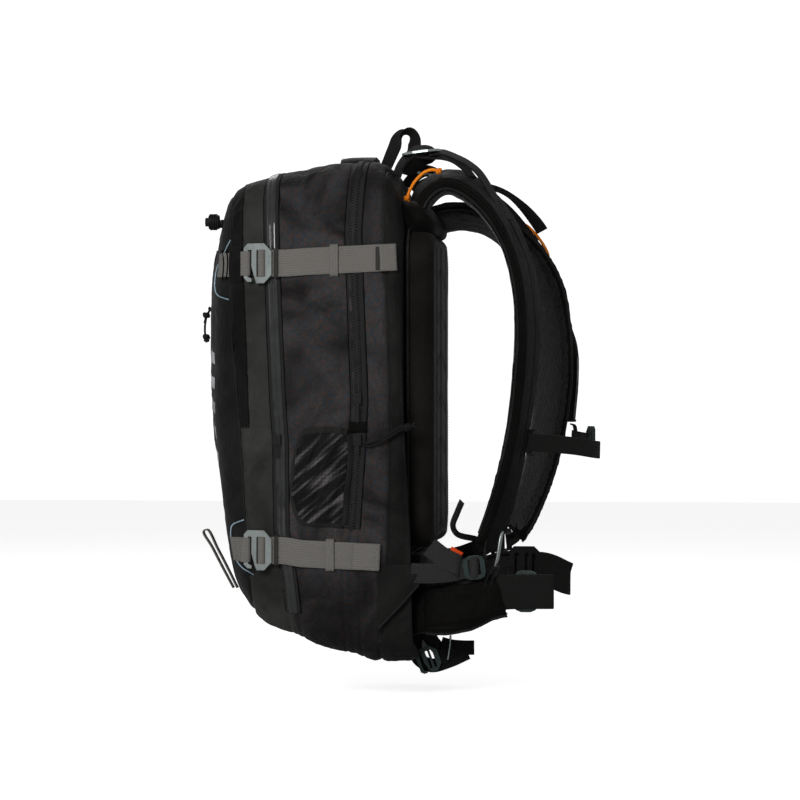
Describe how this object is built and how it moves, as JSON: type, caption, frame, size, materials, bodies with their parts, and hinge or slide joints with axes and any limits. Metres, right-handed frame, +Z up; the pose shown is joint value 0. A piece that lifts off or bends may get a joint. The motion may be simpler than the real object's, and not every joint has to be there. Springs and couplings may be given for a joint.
{
  "type": "avalanche airbag backpack",
  "caption": "Black ski backpack with a folded airbag and an electric blower inside, ski carry straps with metal hooks, padded shoulder straps and a hip belt.",
  "frame": {"origin": "middle of the back panel's contact face, the face that rests on the wearer's back", "axes": "+Y out of the back panel towards the wearer, +X to the wearer's right, +Z up along the wearer's spine"},
  "size_m": [0.3028, 0.4517, 0.6228],
  "materials": {
    "pack_fabric": "crinkled matt nylon, fine plain weave",
    "panel_fabric": "smooth coated nylon",
    "back_pad": "moulded foam under knitted mesh",
    "strap_fabric": "matt fabric over foam",
    "black_webbing": "ribbed woven webbing",
    "grey_webbing": "ribbed woven webbing",
    "coated_zip": "glossy water-resistant film",
    "zip_tape": "woven tape with coarse moulded teeth",
    "satin_metal": "satin, grey-green",
    "dark_metal": "dark satin",
    "black_plastic": "matt moulded",
    "orange_plastic": "matt moulded",
    "stay_aluminium": "mill",
    "airbag_nylon": "coated ripstop",
    "motor_steel": "turned",
    "valve_rubber": "silicone",
    "cell_metal": "shrink sleeve",
    "circuit_board": "solder mask",
    "orange_cord": "braided",
    "black_cord": "braided"
  },
  "bodies": {
    "pack": {"front_panel": "panel_fabric", "front_pocket": "pack_fabric", "main_compartment": "pack_fabric", "main_zip_tape": "coated_zip", "airbag_zip_tape": "zip_tape", "frame_sheet": "black_plastic", "back_foam_pad": "back_pad", "lumbar_pad": "back_pad", "frame_stay_right": "stay_aluminium", "frame_stay_left": "stay_aluminium", "airbag_folded": "airbag_nylon", "blower_housing_back": "black_plastic", "blower_housing_cover": "black_plastic", "blower_motor": "motor_steel", "outlet_duct": "black_plastic", "supercapacitor_pack": "cell_metal", "control_board": "circuit_board", "battery_pack": "cell_metal", "trigger_cable": "black_cord", "upper_ski_strap_right": "grey_webbing", "upper_ski_strap_left": "grey_webbing", "lower_ski_strap_right": "grey_webbing", "lower_ski_strap_left": "grey_webbing", "cord_lock_barrel": "black_plastic", "lower_anchor_right": "black_webbing", "lower_anchor_left": "black_webbing", "front_pull_cord": "black_cord"},
    "impeller": {"impeller": "black_plastic"},
    "valve_flap": {"valve_flap": "valve_rubber"},
    "power_switch": {"power_switch": "orange_plastic"},
    "top_flap": {"top_flap": "panel_fabric"},
    "haul_loop": {"haul_loop": "black_webbing"},
    "main_zip_slider": {"main_zip_slider": "dark_metal"},
    "airbag_zip_slider": {"airbag_zip_slider": "dark_metal"},
    "side_zip_slider": {"side_zip_slider": "dark_metal", "side_pull_cord": "black_cord"},
    "upper_ski_hook_right": {"upper_ski_hook_right": "satin_metal"},
    "upper_ski_hook_left": {"upper_ski_hook_left": "satin_metal"},
    "lower_ski_hook_right": {"lower_ski_hook_right": "satin_metal"},
    "lower_ski_hook_left": {"lower_ski_hook_left": "satin_metal"},
    "cord_lock_button": {"cord_lock_button": "black_plastic"},
    "ice_axe_loop": {"ice_axe_loop": "grey_webbing"},
    "shoulder_strap_right": {"shoulder_strap_right": "strap_fabric", "strap_cord_right": "orange_cord"},
    "shoulder_strap_left": {"shoulder_strap_left": "strap_fabric", "strap_cord_left": "orange_cord"},
    "lifter_buckle_right": {"lifter_buckle_right": "dark_metal"},
    "lifter_buckle_left": {"lifter_buckle_left": "dark_metal"},
    "ladder_lock_right": {"ladder_lock_right": "satin_metal"},
    "ladder_lock_left": {"ladder_lock_left": "satin_metal"},
    "sternum_strap_right": {"sternum_strap_right": "black_webbing"},
    "sternum_strap_left": {"sternum_strap_left": "black_webbing"},
    "sternum_hook": {"sternum_hook": "dark_metal"},
    "trigger_handle": {"trigger_handle": "orange_plastic"},
    "hip_wing_right": {"hip_wing_right": "strap_fabric"},
    "hip_wing_left": {"hip_wing_left": "strap_fabric"},
    "hip_loop_right": {"hip_loop_right": "satin_metal"},
    "hip_hook_left": {"hip_hook_left": "satin_metal"},
    "leg_strap": {"leg_strap": "black_webbing"},
    "leg_strap_hook": {"leg_strap_hook": "satin_metal"}
  },
  "joints": [
    {"name": "impeller_spin", "type": "hinge", "parent": "pack", "child": "impeller", "pos_m": [0, -0.083, 0.125], "axis": [0, 1, 0], "continuous": true},
    {"name": "valve_flap_hinge", "type": "hinge", "parent": "pack", "child": "valve_flap", "pos_m": [0, -0.089, 0.199], "axis": [1, 0, 0], "range_deg": [0, 60]},
    {"name": "power_switch_turn", "type": "hinge", "parent": "pack", "child": "power_switch", "pos_m": [-0.06, -0.06, 0.028], "axis": [0, 1, 0], "range_deg": [0, 90]},
    {"name": "top_flap_hinge", "type": "hinge", "parent": "pack", "child": "top_flap", "pos_m": [0, -0.073, 0.277], "axis": [-1, 0, 0], "range_deg": [0, 80]},
    {"name": "haul_loop_swing", "type": "hinge", "parent": "pack", "child": "haul_loop", "pos_m": [0, -0.05, 0.268], "axis": [1, 0, 0], "range_deg": [-8, 8]},
    {"name": "main_zip_slide", "type": "slide", "parent": "pack", "child": "main_zip_slider", "axis": [0, 0, 1], "range_m": [-0.075, 0.16]},
    {"name": "airbag_zip_slide", "type": "slide", "parent": "pack", "child": "airbag_zip_slider", "axis": [0, 0, 1], "range_m": [-0.008, 0.12]},
    {"name": "side_zip_slide", "type": "slide", "parent": "pack", "child": "side_zip_slider", "axis": [0, 0, 1], "range_m": [-0.085, 0]},
    {"name": "upper_ski_hook_right_swing", "type": "hinge", "parent": "pack", "child": "upper_ski_hook_right", "pos_m": [0.1432, -0.1794, 0.151], "axis": [0, 0, 1], "range_deg": [0, 40]},
    {"name": "upper_ski_hook_left_swing", "type": "hinge", "parent": "pack", "child": "upper_ski_hook_left", "pos_m": [-0.1432, -0.1794, 0.151], "axis": [0, 0, -1], "range_deg": [0, 40]},
    {"name": "lower_ski_hook_right_swing", "type": "hinge", "parent": "pack", "child": "lower_ski_hook_right", "pos_m": [0.1432, -0.1794, -0.166], "axis": [0, 0, 1], "range_deg": [0, 40]},
    {"name": "lower_ski_hook_left_swing", "type": "hinge", "parent": "pack", "child": "lower_ski_hook_left", "pos_m": [-0.1432, -0.1794, -0.166], "axis": [0, 0, -1], "range_deg": [0, 40]},
    {"name": "cord_lock_press", "type": "slide", "parent": "pack", "child": "cord_lock_button", "axis": [0, 1, 0], "range_m": [0, 0.0025], "stiffness_N_per_m": 400},
    {"name": "ice_axe_loop_swing", "type": "hinge", "parent": "pack", "child": "ice_axe_loop", "pos_m": [0.062, -0.2265, -0.212], "axis": [1, 0, 0], "range_deg": [-2, 60]},
    {"name": "shoulder_strap_right_swing", "type": "hinge", "parent": "pack", "child": "shoulder_strap_right", "pos_m": [0.06, -0.026, 0.208], "axis": [1, 0, 0], "range_deg": [-4, 8]},
    {"name": "shoulder_strap_left_swing", "type": "hinge", "parent": "pack", "child": "shoulder_strap_left", "pos_m": [-0.06, -0.026, 0.206], "axis": [1, 0, 0], "range_deg": [-4, 8]},
    {"name": "lifter_buckle_right_tilt", "type": "hinge", "parent": "pack", "child": "lifter_buckle_right", "pos_m": [0.06, -0.034, 0.277], "axis": [1, 0, 0], "range_deg": [0, 20]},
    {"name": "lifter_buckle_left_tilt", "type": "hinge", "parent": "pack", "child": "lifter_buckle_left", "pos_m": [-0.06, -0.03, 0.2653], "axis": [1, 0, 0], "range_deg": [0, 20]},
    {"name": "ladder_lock_right_tilt", "type": "hinge", "parent": "pack", "child": "ladder_lock_right", "pos_m": [0.1372, 0.037, -0.1854], "axis": [0, 0, -1], "range_deg": [0, 20]},
    {"name": "ladder_lock_left_tilt", "type": "hinge", "parent": "pack", "child": "ladder_lock_left", "pos_m": [-0.1362, 0.05, -0.1704], "axis": [0, 0, 1], "range_deg": [0, 20]},
    {"name": "sternum_slide_right", "type": "slide", "parent": "shoulder_strap_right", "child": "sternum_strap_right", "axis": [-0.08, 0.195, 0.9775], "range_m": [-0.03, 0.005]},
    {"name": "sternum_slide_left", "type": "slide", "parent": "shoulder_strap_left", "child": "sternum_strap_left", "axis": [0.063, 0.22, 0.9735], "range_m": [-0.03, 0.005]},
    {"name": "sternum_hook_swing", "type": "hinge", "parent": "sternum_strap_left", "child": "sternum_hook", "pos_m": [-0.04, 0.1657, -0.045], "axis": [0, 0, 1], "range_deg": [-15, 30]},
    {"name": "trigger_pull", "type": "slide", "parent": "shoulder_strap_left", "child": "trigger_handle", "axis": [-0.0665, -0.0498, -0.9965], "range_m": [0, 0.03]},
    {"name": "hip_wing_right_swing", "type": "hinge", "parent": "pack", "child": "hip_wing_right", "pos_m": [0.115, -0.012, -0.232], "axis": [0, 0, -1], "range_deg": [-25, 10]},
    {"name": "hip_wing_left_swing", "type": "hinge", "parent": "pack", "child": "hip_wing_left", "pos_m": [-0.115, -0.012, -0.228], "axis": [0, 0, 1], "range_deg": [-25, 4]},
    {"name": "hip_loop_right_swing", "type": "hinge", "parent": "hip_wing_right", "child": "hip_loop_right", "pos_m": [0.112, 0.1145, -0.2115], "axis": [0, 0, -1], "range_deg": [0, 40]},
    {"name": "hip_hook_left_swing", "type": "hinge", "parent": "hip_wing_left", "child": "hip_hook_left", "pos_m": [-0.106, 0.1105, -0.197], "axis": [0, 0, 1], "range_deg": [0, 40]},
    {"name": "leg_strap_swing", "type": "hinge", "parent": "pack", "child": "leg_strap", "pos_m": [0.03, -0.024, -0.266], "axis": [1, 0, 0], "range_deg": [0, 40]},
    {"name": "leg_strap_hook_swing", "type": "hinge", "parent": "leg_strap", "child": "leg_strap_hook", "pos_m": [0.036, -0.002, -0.2914], "axis": [1, 0, 0], "range_deg": [-10, 10]}
  ],
  "couplings": [
    {"joint": "sternum_slide_left", "follows": "sternum_slide_right", "ratio": 1}
  ]
}
